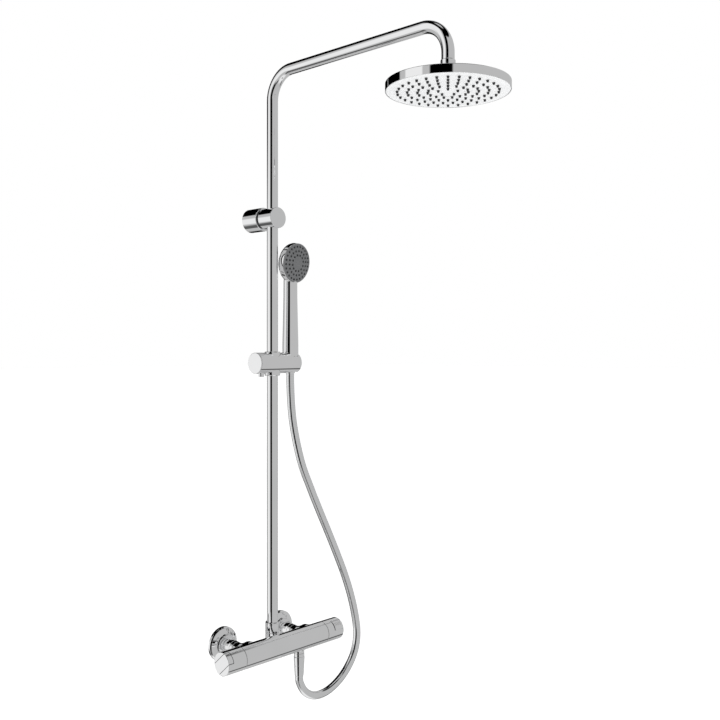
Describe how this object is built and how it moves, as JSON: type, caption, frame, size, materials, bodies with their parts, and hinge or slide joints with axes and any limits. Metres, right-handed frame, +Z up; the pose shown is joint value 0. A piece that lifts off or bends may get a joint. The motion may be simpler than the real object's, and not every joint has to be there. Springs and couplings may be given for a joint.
{
  "type": "rainfall shower column",
  "caption": "Wall-mounted shower column: thermostatic bar valve, riser with bent arm, tilting round overhead head, sliding handset holder and flexible hose.",
  "frame": {"origin": "on the wall's surface, midway between the two water inlets, at the height of the bar valve's axis", "axes": "+Z up along the riser; +Y into the wall, so the user stands on the -Y side; +X to the right of a user who faces the wall"},
  "size_m": [0.3672, 0.624, 1.2694],
  "materials": {
    "chrome": "polished",
    "steel": "satin",
    "hose_steel": "polished spiral band",
    "brass": "as turned",
    "white_plastic": "gloss",
    "grey_plastic": "satin",
    "nylon": "matt",
    "rubber": "matt"
  },
  "bodies": {
    "column": {"riser_pipe": "chrome", "arm_pipe": "chrome", "riser_union_nut": "chrome", "bracket_sleeve": "chrome", "bracket_body": "chrome", "left_wall_flange": "chrome", "right_wall_flange": "chrome", "left_inlet_nut": "chrome", "right_inlet_nut": "chrome", "valve_body": "chrome", "hose_outlet_nipple": "chrome", "lower_hose_nut": "chrome", "arm_end_nut": "chrome", "bracket_wall_screw": "steel", "bracket_grub_screw": "steel", "shower_hose": "hose_steel", "pipe_joint_sleeve": "brass", "left_inlet_union": "brass", "right_inlet_union": "brass", "thermostatic_cartridge": "brass", "bracket_wall_plate": "nylon", "diverter_cartridge": "nylon", "outlet_check_valve": "nylon", "riser_washer": "rubber", "left_inlet_strainer": "rubber", "right_inlet_strainer": "rubber", "lower_hose_washer": "rubber", "arm_end_washer": "rubber"},
    "slider": {"slider_bush": "nylon", "slider_body": "chrome", "slider_end_cap": "chrome", "slider_brake_pad": "nylon"},
    "lock_pin": {"slider_lock_pin": "chrome"},
    "hose_nut": {"upper_hose_nut": "chrome", "handset_washer": "rubber"},
    "handset": {"handset_shell": "chrome", "handset_face": "grey_plastic", "handset_nozzle_mat": "rubber"},
    "temperature_control": {"temperature_handle": "chrome", "thermostat_spindle": "brass"},
    "stop_button": {"temperature_stop_button": "chrome"},
    "diverter_control": {"diverter_handle": "chrome", "diverter_grip_band": "chrome", "diverter_spindle": "brass"},
    "head_ball": {"ball_stem": "brass"},
    "overhead_head": {"ball_seat": "nylon", "ball_cap": "chrome", "head_top_shell": "chrome", "head_face_plate": "white_plastic", "head_nozzle_mat": "rubber"}
  },
  "joints": [
    {"name": "slider_height", "type": "slide", "parent": "column", "child": "slider", "axis": [0, 0, 1], "range_m": [-0.3, 0], "deforming": ["shower_hose"]},
    {"name": "lock_pin_press", "type": "slide", "parent": "slider", "child": "lock_pin", "axis": [0, 0, 1], "range_m": [0, 0.0035], "stiffness_N_per_m": 600, "springref_m": -0.002},
    {"name": "handset_lift", "type": "slide", "parent": "slider", "child": "hose_nut", "axis": [0, 0, 1], "range_m": [0, 0.012]},
    {"name": "handset_spin", "type": "hinge", "parent": "hose_nut", "child": "handset", "pos_m": [0.0485, -0.0655, 0.566], "axis": [0, 0, 1], "range_deg": [0, 110]},
    {"name": "temperature_turn", "type": "hinge", "parent": "column", "child": "temperature_control", "pos_m": [0.13, -0.095, 0], "axis": [1, 0, 0], "range_deg": [-120, 90]},
    {"name": "stop_button_press", "type": "slide", "parent": "temperature_control", "child": "stop_button", "axis": [0, 0.7547, -0.6561], "range_m": [0, 0.0014], "stiffness_N_per_m": 500, "springref_m": -0.001},
    {"name": "diverter_turn", "type": "hinge", "parent": "column", "child": "diverter_control", "pos_m": [-0.13, -0.095, 0], "axis": [1, 0, 0], "range_deg": [-90, 90]},
    {"name": "head_swivel", "type": "hinge", "parent": "column", "child": "head_ball", "pos_m": [0, -0.5025, 1.037], "axis": [0, 0, 1], "continuous": true},
    {"name": "head_tilt", "type": "hinge", "parent": "head_ball", "child": "overhead_head", "pos_m": [0, -0.5025, 1.037], "axis": [1, 0, 0], "range_deg": [-15, 15]}
  ]
}
